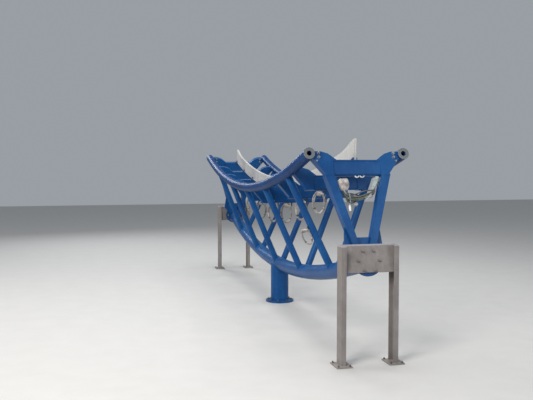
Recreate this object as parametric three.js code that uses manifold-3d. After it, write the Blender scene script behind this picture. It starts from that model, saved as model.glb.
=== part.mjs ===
// A valley section of roller coaster track, standing on two steel transport stands.
// Two running rails, a bottom chord and V frames make a three-sided lattice that curves
// upwards at both ends, with a row of fins along the middle.
// Millimetres. X runs across the track, Y along it and Z up. The origin is on the ground,
// midway along the section. Y is negative at the near end.

import * as THREE from 'three';
import { mergeVertices } from 'three/addons/utils/BufferGeometryUtils.js';
import Module from 'manifold-3d';

const wasm = await Module();
wasm.setup();

// Driving dimensions
const touchGap = 0.3; // left between pieces that are welded, bolted or resting together
const seatGap = touchGap + 0.6; // the same, for a seat around a faceted tube
const gauge = 1200; // between the centre lines of the rails
const arcRadius = 13080; // of the rails' centre lines, seen from the side
const railMidHeight = 1950; // the rails' centre lines above the ground, at mid-length
const endAngle = 16.08; // degrees from mid-length to the cut ends of the rails
const endFrameAngle = 15.7; // degrees from mid-length to the middle of an end frame
const bays = 9; // from one tie to the next
const curveSteps = 34; // straight stretches along a curved tube
const seatSides = 40; // of a round cut

const railRadius = 71;
const railBore = 31;
const railSides = 16;
const chordDrop = 1305; // from the rails' centre lines down to the chord's
const chordRadius = 106;
const chordBore = 92;
const chordSides = 20;
const chordFlangeRadius = 178;
const chordFlangeBore = 98;
const chordFlangeDepth = 32;

const tieDepth = 96; // along the track
const endTieDepth = 110;
const tieTop = 72; // drop of the tie's top face below the rails' centre lines
const tieBottom = 262;
const tieHalfLength = 412; // of its underside
const tieHeel = 232; // drop at which the sloping end starts
const ear = { root: 257, bend: 360, bendRise: 6, shoulder: 450 }; // across, from the middle
const cupRadius = railRadius + seatGap; // of the seat that holds a rail
const cupStart = 152; // degrees around the rail
const cupEnd = 230;

const tubeLegRadius = 48;
const tubeLegSides = 14;
const tubeLegTop = 476; // from the middle of the track to the leg's centre, at tieBottom
const tubeLegFoot = 62; // the same, beside the chord
const tubeLegFootDrop = chordDrop - 60;
const tubeLegRun = 290; // of the untrimmed leg past tieBottom, to inside the rail
const tubeLegPairs = 5;
const tubeLegSpan = 6; // straight stretches of the tubes, from one pair to the next
const boxLegTopInner = 300;
const boxLegFootInner = 22;
const boxLegFootOuter = 100;
const boxLegFootDrop = 1262;
const gusset = { top: 880, reach: 235, knee: 1060, heel: 1110, depth: 24 }; // at a box leg's outer side
const webPlateDrop = 1010; // where the plate between the end frame's legs starts
const webPlateDepth = 24;
const webPlateBottomDrop = chordDrop - chordRadius + 20;

const finThickness = 34;
const finRise = 152; // above the rails' centre lines
const finEndRise = 192; // the same, at the two plumb ends of the row
const finSlope = 480; // length over which the top edge climbs to an end
const finJoint = 4; // between neighbouring modules

const standHalfWidth = 352;
const channelDepth = 160;
const channelFlange = 60;
const channelWall = 9;
const standPlateDepth = 25;
const standPlateRise = 195; // above the chord's centre, in the plate's own plane
const standPlateFall = 137;
const postShift = 12; // of the posts, outwards from the chord's end
const postMargin = 4; // above the plate
const footPlate = { across: 190, along: 250, depth: 16 };

const pedestalRadius = 150;
const pedestalFlangeRadius = 235;
const pedestalFlangeDepth = 28;
const pedestalSides = 28;

const coilTube = 17; // radius of a coil's bundled turns
const coilHalfWidth = 75; // of the turns' centre line
const coilHalfHeight = 142;
const coilOffset = 218; // to the left of the middle, under a tie
const coils = 6;
const wrapSize = new THREE.Vector3(56, 35, 40); // half sizes of the wrapped plug on a coil's top
const hankDrop = 800; // of the coil that is tied beside the first left tube leg
const hankScale = 0.75;
const bagSize = new THREE.Vector3(78, 58, 94); // half sizes of the wrapped plugs
const bagOffset = 178;
const sleeveAt = new THREE.Vector3(212, -30, -360); // of the wrapped bundle near the right leg
const sleeveRadius = 42;
const sleeveLength = 110;
const sleeveLean = 28; // degrees
const leadRadius = 20;
const leadEntry = 50; // how deep the lead's ends sit in the two bundles
const leadSpread = 40; // of the curve's control points, outwards
const leadFall = 230; // of the same, below the plugs

// Finishes
const blue = { color: 0x2b5f93, roughness: 0.42, metalness: 0.1 };
const navy = { color: 0x1f4172, roughness: 0.4, metalness: 0.1 };
const offWhite = { color: 0xc9c8c0, roughness: 0.5, metalness: 0.2 };
const primerGrey = { color: 0x8b8983, roughness: 0.7, metalness: 0.1 };
const cableBrown = { color: 0x9a8f86, roughness: 0.7, metalness: 0 };

const radians = THREE.MathUtils.degToRad;
const endTurn = radians(endAngle);
const tubeLegTurn = (tubeLegSpan * 2 * endTurn) / curveSteps;
const frameTurn = radians(endFrameAngle);
const halfBayTurn = frameTurn / bays;
const halfGauge = gauge / 2;
const arcCentreHeight = railMidHeight + arcRadius;

const section = new THREE.Group();

// A point of the curved track: a turn from mid-length, and a drop below the rails' centres.
function arcPoint(turn, drop, across = 0) {
  const reach = arcRadius + drop;
  return new THREE.Vector3(across, reach * Math.sin(turn), arcCentreHeight - reach * Math.cos(turn));
}

class TrackCurve extends THREE.Curve {
  constructor(drop, across) {
    super();
    this.drop = drop;
    this.across = across;
  }

  getPoint(t, target = new THREE.Vector3()) {
    return target.copy(arcPoint(endTurn * (2 * t - 1), this.drop, this.across));
  }
}

// A group square to the track at one turn: local Y runs along it and local Z towards the rails.
function station(turn) {
  const group = new THREE.Group();
  group.rotation.x = turn;
  group.position.copy(arcPoint(turn, 0));
  section.add(group);
  return group;
}

function addPiece(parent, name, geometry, finish) {
  const piece = new THREE.Mesh(geometry, new THREE.MeshStandardMaterial(finish));
  piece.name = name;
  parent.add(piece);
  return piece;
}

// Joining and cutting
function toSolid(geometry) {
  const bare = geometry.clone();
  bare.deleteAttribute('normal');
  bare.deleteAttribute('uv');
  const merged = mergeVertices(bare, 1e-3);
  const mesh = new wasm.Mesh({
    numProp: 3,
    vertProperties: new Float32Array(merged.attributes.position.array),
    triVerts: new Uint32Array(merged.index.array),
  });
  return new wasm.Manifold(mesh);
}

function toGeometry(solid) {
  const mesh = solid.getMesh();
  const geometry = new THREE.BufferGeometry();
  geometry.setAttribute('position', new THREE.BufferAttribute(mesh.vertProperties, 3));
  geometry.setIndex(new THREE.BufferAttribute(mesh.triVerts, 1));
  geometry.computeVertexNormals();
  return geometry;
}

function join(first, ...others) {
  return toGeometry(others.reduce((solid, other) => solid.add(toSolid(other)), toSolid(first)));
}

function cut(first, ...others) {
  return toGeometry(others.reduce((solid, other) => solid.subtract(toSolid(other)), toSolid(first)));
}

// Shapes
function outline(points) {
  return new THREE.Shape(points.map(([x, y]) => new THREE.Vector2(x, y)));
}

// A flat piece square to the track: the outline is in X and Z, and its thickness along Y.
function crossPlate(points, depth) {
  const geometry = new THREE.ExtrudeGeometry(outline(points), { depth, bevelEnabled: false });
  geometry.rotateX(Math.PI / 2);
  geometry.translate(0, depth / 2, 0);
  return geometry;
}

// A flat piece in line with the track: the outline is in Y and Z, and its thickness across.
function lengthPlate(points, thickness) {
  const geometry = new THREE.ExtrudeGeometry(outline(points), { depth: thickness, bevelEnabled: false });
  const turned = new THREE.Matrix4().makeBasis(
    new THREE.Vector3(0, 1, 0),
    new THREE.Vector3(0, 0, 1),
    new THREE.Vector3(1, 0, 0),
  );
  geometry.applyMatrix4(turned);
  geometry.translate(-thickness / 2, 0, 0);
  return geometry;
}

function rod(from, to, radius, sides) {
  const line = new THREE.Vector3().subVectors(to, from);
  const geometry = new THREE.CylinderGeometry(radius, radius, line.length(), sides);
  const turn = new THREE.Quaternion().setFromUnitVectors(new THREE.Vector3(0, 1, 0), line.normalize());
  geometry.applyQuaternion(turn);
  geometry.translate((from.x + to.x) / 2, (from.y + to.y) / 2, (from.z + to.z) / 2);
  return geometry;
}

function boxBetween(low, high) {
  const geometry = new THREE.BoxGeometry(high[0] - low[0], high[1] - low[1], high[2] - low[2]);
  geometry.translate((low[0] + high[0]) / 2, (low[1] + high[1]) / 2, (low[2] + high[2]) / 2);
  return geometry;
}

// A curved tube with an open bore from end to end.
function curvedTube(drop, across, outer, bore, sides) {
  const wall = new THREE.Shape();
  wall.absarc(0, 0, outer, 0, 2 * Math.PI);
  const hole = new THREE.Path();
  hole.absarc(0, 0, bore, 0, 2 * Math.PI, true);
  wall.holes.push(hole);
  return new THREE.ExtrudeGeometry(wall, {
    steps: curveSteps,
    curveSegments: sides / 2,
    bevelEnabled: false,
    extrudePath: new TrackCurve(drop, across),
  });
}

function ringFlange(outer, inner, depth, sides) {
  const profile = [
    [inner, 0],
    [outer, 0],
    [outer, depth],
    [inner, depth],
    [inner, 0],
  ];
  return new THREE.LatheGeometry(profile.map(([x, y]) => new THREE.Vector2(x, y)), sides);
}

function addRails() {
  for (const [side, sign] of [['left', -1], ['right', 1]]) {
    const tube = curvedTube(0, sign * halfGauge, railRadius, railBore, railSides);
    addPiece(section, `${side}_rail`, tube, navy);
  }
}

// The chord with a bolting flange welded on at each end.
function addChord() {
  const tube = curvedTube(chordDrop, 0, chordRadius, chordBore, chordSides);
  const flanges = [-1, 1].map((end) => {
    const ring = ringFlange(chordFlangeRadius, chordFlangeBore, chordFlangeDepth, 2 * railSides);
    if (end > 0) ring.translate(0, -chordFlangeDepth, 0);
    ring.rotateX(end * endTurn);
    const centre = arcPoint(end * endTurn, chordDrop);
    ring.translate(centre.x, centre.y, centre.z);
    return ring;
  });
  addPiece(section, 'bottom_chord', join(tube, ...flanges), blue);
}

function cupPoint(degrees) {
  const turn = radians(degrees);
  return [halfGauge + cupRadius * Math.cos(turn), cupRadius * Math.sin(turn)];
}

// Half of a tie's outline: a flat top, an ear that rises to the rail and cups its inner
// side, and a sloping end.
function tieOutline() {
  const cupSteps = 6;
  const [, earRise] = cupPoint(cupStart);
  const half = [[0, -tieTop], [ear.root, -tieTop], [ear.bend, ear.bendRise], [ear.shoulder, earRise]];
  for (let step = 0; step <= cupSteps; step += 1) {
    half.push(cupPoint(cupStart + ((cupEnd - cupStart) * step) / cupSteps));
  }
  half.push([tieHalfLength, -tieHeel], [tieHalfLength, -tieBottom], [0, -tieBottom]);
  return half;
}

function tieGeometry(depth) {
  const half = tieOutline();
  const right = half.slice(1, -1);
  const left = right.map(([x, z]) => [-x, z]).reverse();
  return crossPlate([...right, ...left], depth);
}

// A round bar along the track, for cutting the seat of a tube.
function seatKnife(across, drop, radius) {
  const halfLength = 300;
  const from = new THREE.Vector3(across, -halfLength, -drop);
  const to = new THREE.Vector3(across, halfLength, -drop);
  return rod(from, to, radius, seatSides);
}

function chordKnife() {
  return seatKnife(0, chordDrop, chordRadius + seatGap);
}

// A round leg from under a rail to the chord's flank.
function tubeLeg(sign) {
  const heel = new THREE.Vector3(sign * tubeLegTop, 0, -tieBottom);
  const foot = new THREE.Vector3(sign * tubeLegFoot, 0, -tubeLegFootDrop);
  const reach = new THREE.Vector3().subVectors(heel, foot).normalize();
  const high = heel.clone().addScaledVector(reach, tubeLegRun);
  const railKnife = seatKnife(sign * halfGauge, 0, cupRadius);
  return cut(rod(foot, high, tubeLegRadius, tubeLegSides), railKnife, chordKnife());
}

// A box leg of an end frame with a gusset at its outer side, cut to the chord's flank.
function boxLeg(sign) {
  const mirrored = (points) => points.map(([x, z]) => [sign * x, z]);
  const box = crossPlate(
    mirrored([
      [boxLegTopInner, -tieBottom - touchGap],
      [tieHalfLength, -tieBottom - touchGap],
      [boxLegFootOuter, -boxLegFootDrop],
      [boxLegFootInner, -boxLegFootDrop],
    ]),
    endTieDepth,
  );
  const share = (gusset.top - tieBottom) / (boxLegFootDrop - tieBottom);
  const outerAtGusset = tieHalfLength + (boxLegFootOuter - tieHalfLength) * share;
  const innerAtGusset = boxLegTopInner + (boxLegFootInner - boxLegTopInner) * share;
  const gussetPlate = crossPlate(
    mirrored([
      [(outerAtGusset + innerAtGusset) / 2, -gusset.top],
      [outerAtGusset, -gusset.top - touchGap],
      [gusset.reach, -gusset.knee],
      [gusset.reach, -gusset.heel],
      [boxLegFootOuter, -boxLegFootDrop],
      [boxLegFootInner + 10, -boxLegFootDrop],
    ]),
    gusset.depth,
  );
  return cut(join(box, gussetPlate), chordKnife());
}

// The plate that closes the foot of the V between the end frame's legs.
function webPlate() {
  const slope = (boxLegTopInner - boxLegFootInner) / (boxLegFootDrop - tieBottom);
  const halfAt = (drop) => boxLegFootInner + slope * (boxLegFootDrop - drop) - 2 * touchGap;
  const topHalf = halfAt(webPlateDrop);
  const bottomHalf = halfAt(webPlateBottomDrop);
  const points = [
    [-topHalf, -webPlateDrop],
    [topHalf, -webPlateDrop],
    [bottomHalf, -webPlateBottomDrop],
    [-bottomHalf, -webPlateBottomDrop],
  ];
  return cut(crossPlate(points, webPlateDepth), chordKnife());
}

function addTies() {
  for (let index = 0; index <= bays; index += 1) {
    const group = station((2 * index - bays) * halfBayTurn);
    const depth = index === 0 || index === bays ? endTieDepth : tieDepth;
    addPiece(group, `tie_${String(index + 1).padStart(2, '0')}`, tieGeometry(depth), blue);
  }
}

// A pair of box legs under each end tie, and the pairs of tube legs between them.
function addLegs() {
  const middle = (tubeLegPairs + 1) / 2;
  for (let pair = 0; pair <= tubeLegPairs + 1; pair += 1) {
    const atEnd = pair === 0 || pair === tubeLegPairs + 1;
    const turn = atEnd ? Math.sign(pair - middle) * frameTurn : (pair - middle) * tubeLegTurn;
    const group = station(turn);
    for (const [side, sign] of [['left', -1], ['right', 1]]) {
      const leg = atEnd ? boxLeg(sign) : tubeLeg(sign);
      addPiece(group, `${side}_leg_${pair + 1}`, leg, blue);
    }
    if (atEnd) addPiece(group, pair === 0 ? 'near_web_plate' : 'far_web_plate', webPlate(), blue);
  }
}

// One module of the fin row, a bay long: a curved plate whose ends stand on two ties.
// The outer end of the first and the last one is plumb, and its top climbs towards it.
function finGeometry(end) {
  const reach = halfBayTurn - finJoint / 2 / arcRadius;
  const foot = tieTop - touchGap;
  const at = (turn, drop) => [
    (arcRadius + drop) * Math.sin(turn),
    arcRadius - (arcRadius + drop) * Math.cos(turn),
  ];
  const topSteps = 8;
  const footSteps = 4;
  const plumbTurn = Math.asin((Math.sin(frameTurn) * (arcRadius + foot)) / (arcRadius - finEndRise));
  const endReach = plumbTurn - frameTurn + halfBayTurn;
  const from = end > 0 ? endReach : reach;
  const to = end < 0 ? -endReach : -reach;
  const points = [];
  for (let step = 0; step <= topSteps; step += 1) {
    const turn = from + ((to - from) * step) / topSteps;
    const before = end === 0 ? finSlope : arcRadius * (endReach - end * turn);
    const climb = THREE.MathUtils.smoothstep(finSlope - before, 0, finSlope);
    points.push(at(turn, -finRise - (finEndRise - finRise) * climb));
  }
  for (let step = 0; step <= footSteps; step += 1) {
    points.push(at(reach * ((2 * step) / footSteps - 1), foot));
  }
  return lengthPlate(points, finThickness);
}

function addFins() {
  for (let bay = 0; bay < bays; bay += 1) {
    const group = station((2 * bay + 1 - bays) * halfBayTurn);
    const end = bay === 0 ? -1 : Number(bay === bays - 1);
    addPiece(group, `fin_module_${bay + 1}`, finGeometry(end), offWhite);
  }
}

// A stand: two plumb channels with foot plates, and a plate between them that is square to
// the track and takes the bolts of the chord's flange.
function addStand(end, name) {
  const group = station(end * endTurn);
  const plate = boxBetween(
    [channelWall + touchGap - standHalfWidth, 0, -chordDrop - standPlateFall],
    [standHalfWidth - channelWall - touchGap, standPlateDepth, -chordDrop + standPlateRise],
  );
  plate.translate(0, end > 0 ? touchGap : -touchGap - standPlateDepth, 0);
  addPiece(group, `${name}_stand_plate`, plate, primerGrey);

  const chordEnd = arcPoint(end * endTurn, chordDrop);
  const middle = chordEnd.y + end * postShift;
  const top = chordEnd.z + standPlateRise * Math.cos(endTurn) + postMargin;
  for (const [side, sign] of [['left', -1], ['right', 1]]) {
    const outer = sign * standHalfWidth;
    const web = sign * (standHalfWidth - channelWall);
    const toe = sign * (standHalfWidth - channelFlange);
    const half = channelDepth / 2;
    const inner = half - channelWall;
    const channel = new THREE.ExtrudeGeometry(
      outline([
        [outer, middle - half],
        [outer, middle + half],
        [toe, middle + half],
        [toe, middle + inner],
        [web, middle + inner],
        [web, middle - inner],
        [toe, middle - inner],
        [toe, middle - half],
      ]),
      { depth: top - footPlate.depth / 2, bevelEnabled: false },
    );
    channel.translate(0, 0, footPlate.depth / 2);
    const centre = sign * (standHalfWidth - channelFlange / 2);
    const foot = boxBetween(
      [centre - footPlate.across / 2, middle - footPlate.along / 2, 0],
      [centre + footPlate.across / 2, middle + footPlate.along / 2, footPlate.depth],
    );
    addPiece(section, `${name}_stand_${side}_post`, join(channel, foot), primerGrey);
  }
}

// The column connection under the middle of the chord, with its flange on the ground.
function addPedestal() {
  const chordHeight = railMidHeight - chordDrop;
  const stub = new THREE.CylinderGeometry(pedestalRadius, pedestalRadius, chordHeight, pedestalSides);
  stub.rotateX(Math.PI / 2);
  stub.translate(0, 0, chordHeight / 2);
  const flange = new THREE.CylinderGeometry(
    pedestalFlangeRadius,
    pedestalFlangeRadius,
    pedestalFlangeDepth,
    pedestalSides,
  );
  flange.rotateX(Math.PI / 2);
  flange.translate(0, 0, pedestalFlangeDepth / 2);
  const saddle = seatKnife(0, -chordHeight, chordRadius + seatGap);
  const welded = toSolid(stub).add(toSolid(flange));
  addPiece(section, 'middle_pedestal', toGeometry(welded.subtract(toSolid(saddle))), blue);
}

// An oval coil of cable, upright and square to the track, with its wrapped plug at the top.
// A round ring is drawn in to the oval at an even thickness.
function coilGeometry() {
  const coil = new THREE.TorusGeometry(1, coilTube / coilHalfHeight, 8, 24);
  const place = coil.attributes.position;
  for (let index = 0; index < place.count; index += 1) {
    const turn = Math.atan2(place.getY(index), place.getX(index));
    const reach = (Math.hypot(place.getX(index), place.getY(index)) - 1) * coilHalfHeight;
    const out = new THREE.Vector2(Math.cos(turn) / coilHalfWidth, Math.sin(turn) / coilHalfHeight);
    out.normalize().multiplyScalar(reach);
    place.setXYZ(
      index,
      coilHalfWidth * Math.cos(turn) + out.x,
      -place.getZ(index) * coilHalfHeight,
      coilHalfHeight * Math.sin(turn) + out.y,
    );
  }
  const wrap = new THREE.SphereGeometry(1, 12, 8);
  wrap.scale(wrapSize.x, wrapSize.y, wrapSize.z);
  wrap.translate(0, 0, coilHalfHeight + coilTube - wrapSize.z);
  return join(coil, wrap);
}

// The fins' cables, coiled under the ties from the near end on.
function addCoils() {
  for (let index = 1; index <= coils; index += 1) {
    const hook = arcPoint((2 * index - bays) * halfBayTurn, tieBottom + touchGap, -coilOffset);
    const coil = addPiece(section, `cable_coil_${index}`, coilGeometry(), cableBrown);
    coil.position.set(hook.x, hook.y, hook.z - coilHalfHeight - coilTube);
  }
}

// A coil tied along the outer side of the first left tube leg.
function addHank() {
  const group = station((-tubeLegTurn * (tubeLegPairs - 1)) / 2);
  const share = (hankDrop - tieBottom) / (tubeLegFootDrop - tieBottom);
  const across = -tubeLegTop + (tubeLegTop - tubeLegFoot) * share;
  const lean = Math.atan2(tubeLegTop - tubeLegFoot, tubeLegFootDrop - tieBottom);
  const legFlat = tubeLegRadius * Math.cos(Math.PI / tubeLegSides);
  const offset = legFlat + touchGap + hankScale * (coilHalfWidth + coilTube);
  const hank = coilGeometry().scale(hankScale, hankScale, hankScale);
  const coil = addPiece(group, 'leg_cable_coil', hank, cableBrown);
  coil.rotation.y = -lean;
  coil.position.set(across - offset * Math.cos(lean), 0, -hankDrop - offset * Math.sin(lean));
}

// Wrapped plugs under the near crossbeam, a wrapped bundle near the right leg, and the
// leads that hang from one to the other.
function addNearCables() {
  const group = station(-frameTurn);
  const bag = new THREE.SphereGeometry(1, 12, 10);
  bag.scale(bagSize.x, bagSize.y, bagSize.z);
  const bagDrop = tieBottom + touchGap + bagSize.z;
  bag.translate(-bagOffset, 0, -bagDrop);

  const sleeve = new THREE.CapsuleGeometry(sleeveRadius, sleeveLength, 4, 12);
  sleeve.rotateX(Math.PI / 2);
  sleeve.rotateY(radians(sleeveLean));
  sleeve.translate(sleeveAt.x, sleeveAt.y, sleeveAt.z);
  const down = new THREE.Vector3(-Math.sin(radians(sleeveLean)), 0, -Math.cos(radians(sleeveLean)));

  const start = new THREE.Vector3(-bagOffset, 0, -bagDrop - leadEntry);
  const finish = sleeveAt.clone().addScaledVector(down, leadEntry);
  const droop = new THREE.CubicBezierCurve3(
    start,
    new THREE.Vector3(start.x - leadSpread, 0, -bagDrop - leadFall),
    new THREE.Vector3(finish.x + leadSpread, sleeveAt.y, -bagDrop - leadFall),
    finish,
  );
  const round = new THREE.Shape();
  round.absarc(0, 0, leadRadius, 0, 2 * Math.PI);
  const lead = new THREE.ExtrudeGeometry(round, {
    steps: 18,
    curveSegments: 4,
    bevelEnabled: false,
    extrudePath: droop,
  });
  addPiece(group, 'near_cable_bundle', join(bag, sleeve, lead), cableBrown);
}

addRails();
addChord();
addTies();
addLegs();
addFins();
addStand(-1, 'near');
addStand(1, 'far');
addPedestal();
addCoils();
addHank();
addNearCables();

export default section;
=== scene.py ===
from contextlib import contextmanager
from math import atan2, cos, exp, pi, radians, sin, sqrt, tau

import bmesh
import bpy
from mathutils import Matrix, Vector, noise


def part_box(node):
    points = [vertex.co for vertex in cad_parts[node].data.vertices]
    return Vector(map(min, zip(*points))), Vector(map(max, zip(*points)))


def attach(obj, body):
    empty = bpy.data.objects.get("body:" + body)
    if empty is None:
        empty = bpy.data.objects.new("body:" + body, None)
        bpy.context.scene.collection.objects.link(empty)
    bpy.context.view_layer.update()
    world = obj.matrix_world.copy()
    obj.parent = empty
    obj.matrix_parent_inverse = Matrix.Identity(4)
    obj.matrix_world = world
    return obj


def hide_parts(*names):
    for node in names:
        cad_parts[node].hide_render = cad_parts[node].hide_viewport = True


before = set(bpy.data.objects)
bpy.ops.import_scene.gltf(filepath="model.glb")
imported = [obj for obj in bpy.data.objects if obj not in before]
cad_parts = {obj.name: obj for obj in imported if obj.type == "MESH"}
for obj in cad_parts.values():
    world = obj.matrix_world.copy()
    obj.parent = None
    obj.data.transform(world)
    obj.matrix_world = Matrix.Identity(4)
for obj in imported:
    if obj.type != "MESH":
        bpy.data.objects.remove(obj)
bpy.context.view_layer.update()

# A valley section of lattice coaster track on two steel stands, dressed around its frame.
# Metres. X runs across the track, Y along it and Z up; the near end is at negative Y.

track = {
    "arcRadius": 13.08,  # of the rails' centre lines, seen from the side
    "endTurn": radians(16.08),  # from mid-length to the cut ends
    "frameTurn": radians(15.7),  # from mid-length to the middle of an end frame
    "bays": 9,  # from one crossbeam to the next
    "legTurn": radians(16.08 * 12 / 34),  # from one pair of tube legs to the next
    "railRadius": 0.071,
    "railBore": 0.031,
    "chordDrop": 1.305,  # from the rails' centre lines down to the chord's
    "chordRadius": 0.106,
    "chordBore": 0.092,
    "tieTop": 0.072,  # drops of a tie's faces
    "tieBottom": 0.262,
    "tieDepth": 0.096,
    "endTieDepth": 0.11,
}
railLow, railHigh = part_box("right_rail")
halfGauge = (railLow.x + railHigh.x) / 2
arcCentre = railLow.z + track["railRadius"] + track["arcRadius"]
halfBay = track["frameTurn"] / track["bays"]
tieTurns = [(2 * index - track["bays"]) * halfBay for index in range(track["bays"] + 1)]
legTurns = [-track["frameTurn"], *(step * track["legTurn"] for step in range(-2, 3)), track["frameTurn"]]


def arcPoint(turn, drop, across=0.0):
    reach = track["arcRadius"] + drop
    return Vector((across, reach * sin(turn), arcCentre - reach * cos(turn)))


def station(turn):
    # local Y runs along the track there, and local Z towards the rails
    return Matrix.Translation(arcPoint(turn, 0)) @ Matrix.Rotation(turn, 4, "X")


# Camera and light
camera = {
    "place": (-3.12, -11.745, 2.332),
    "right": 13.82,  # degrees to the right of the track's direction
    "down": 2.87,
    "lens": 48.45,
    "reach": 100,
}
lamps = [
    # name, place, size, power, colour
    ("skyKey", (-6.5, -9.0, 7.0), 4.0, 900, (1.0, 0.97, 0.93)),
    ("sideFill", (5.0, -12.0, 4.6), 4.5, 210, (0.94, 0.97, 1.0)),
    ("topSoft", (0.5, 0.0, 9.5), 6.0, 620, (1.0, 1.0, 1.0)),
    ("leftSoft", (-9.0, 0.5, 4.8), 5.0, 190, (1.0, 0.99, 0.97)),
    ("backRim", (-3.0, 11.0, 6.5), 3.0, 310, (0.95, 0.98, 1.0)),
]
lampAim = Vector((0, 0, 1.2))
sky = {"colour": (0.80, 0.86, 0.93), "strength": 0.40}


def addCamera():
    data = bpy.data.cameras.new("viewCamera")
    data.lens = camera["lens"]
    data.clip_end = camera["reach"]
    eye = linked("viewCamera", data)
    eye.location = camera["place"]
    eye.rotation_euler = (radians(90 - camera["down"]), 0, radians(-camera["right"]))
    bpy.context.scene.camera = eye


def addLamps():
    for name, place, size, power, colour in lamps:
        data = bpy.data.lights.new(name, "AREA")
        data.size = size
        data.energy = power
        data.color = colour
        lamp = linked(name, data)
        lamp.location = place
        lamp.rotation_euler = (lampAim - lamp.location).to_track_quat("-Z", "Y").to_euler()
    world = bpy.data.worlds.new("paleSky")
    world.use_nodes = True
    light = world.node_tree.nodes["Background"].inputs
    light["Color"].default_value = (*sky["colour"], 1)
    light["Strength"].default_value = sky["strength"]
    bpy.context.scene.world = world
    bpy.context.scene.view_settings.view_transform = "Standard"


# Shader maths as plain Python
class Shade:
    def __init__(self, recipe, socket):
        self.recipe = recipe
        self.socket = socket

    def __add__(self, other):
        return self.recipe.calc("ADD", self, other)

    def __sub__(self, other):
        return self.recipe.calc("SUBTRACT", self, other)

    def __rsub__(self, other):
        return self.recipe.calc("SUBTRACT", other, self)

    def __mul__(self, other):
        return self.recipe.calc("MULTIPLY", self, other)

    __radd__ = __add__
    __rmul__ = __mul__

    def ramp(self, low, high):
        # 0 below low, 1 above high, smooth between them
        settings = {"interpolation_type": "SMOOTHSTEP"}
        inputs = {"Value": self, "From Min": low, "From Max": high}
        return self.recipe.node("ShaderNodeMapRange", settings, inputs)


class Recipe:
    # one material; node() adds any node from its type, settings and socket values
    def __init__(self, name):
        self.material = bpy.data.materials.new(name)
        self.material.use_nodes = True
        self.tree = self.material.node_tree
        self.tree.nodes.clear()
        self.place = self.node("ShaderNodeTexCoord", output="Object")
        self.normal = self.node("ShaderNodeNewGeometry", output="Normal")

    def feed(self, socket, value):
        if isinstance(value, Shade):
            self.tree.links.new(value.socket, socket)
        else:
            socket.default_value = (*value, 1) if socket.type == "RGBA" else value

    def node(self, kind, settings=None, inputs=None, output=0):
        made = self.tree.nodes.new(kind)
        for key, value in (settings or {}).items():
            setattr(made, key, value)
        for key, value in (inputs or {}).items():
            self.feed(made.inputs[key], value)
        return Shade(self, made.outputs[output]) if made.outputs else None

    def calc(self, operation, *values):
        return self.node("ShaderNodeMath", {"operation": operation}, dict(enumerate(values)))

    def part(self, vector, axis):
        return self.node("ShaderNodeSeparateXYZ", None, {"Vector": vector}, axis)

    def stretched(self, scale):
        return self.node("ShaderNodeMapping", None, {"Vector": self.place, "Scale": scale})

    def noise(self, scale, detail=3.0, rough=0.55, vector=None):
        inputs = {"Vector": vector or self.place, "Scale": scale, "Detail": detail, "Roughness": rough}
        return self.node("ShaderNodeTexNoise", None, inputs)

    def mix(self, factor, low, high):
        # sockets 6 and 7 and output 2 are the node's colours
        return self.node("ShaderNodeMix", {"data_type": "RGBA"}, {0: factor, 6: low, 7: high}, 2)

    def shell(self, sockets, height=None, strength=0.3, depth=0.002):
        if height is not None:
            inputs = {"Strength": strength, "Distance": depth, "Height": height}
            sockets["Normal"] = self.node("ShaderNodeBump", None, inputs)
        skin = self.node("ShaderNodeBsdfPrincipled", None, sockets)
        self.node("ShaderNodeOutputMaterial", None, {"Surface": skin})
        return self.material


# Finishes
paintLooks = {
    "framePaint": {
        "base": (0.006, 0.076, 0.240), "deep": (0.004, 0.050, 0.175), "dust": (0.058, 0.120, 0.205),
        "chip": (0.13, 0.14, 0.15), "dustShare": 0.34, "gloss": 0.27, "shine": 0.16, "wear": 0.35,
    },
    "railPaint": {
        "base": (0.004, 0.044, 0.165), "deep": (0.003, 0.028, 0.110), "dust": (0.040, 0.088, 0.170),
        "chip": (0.17, 0.18, 0.19), "dustShare": 0.20, "gloss": 0.27, "shine": 0.042, "wear": 0.5,
    },
    "standPaint": {
        "base": (0.255, 0.234, 0.226), "deep": (0.182, 0.165, 0.158), "dust": (0.40, 0.36, 0.33),
        "chip": (0.110, 0.065, 0.045), "dustShare": 0.5, "gloss": 0.60, "shine": 0.24, "wear": 0.7,
    },
    "finPaint": {
        "base": (0.520, 0.515, 0.500), "deep": (0.400, 0.395, 0.380), "dust": (0.36, 0.34, 0.30),
        "chip": (0.33, 0.32, 0.30), "dustShare": 0.28, "gloss": 0.40, "shine": 0.30, "wear": 0.35,
    },
}


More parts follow.
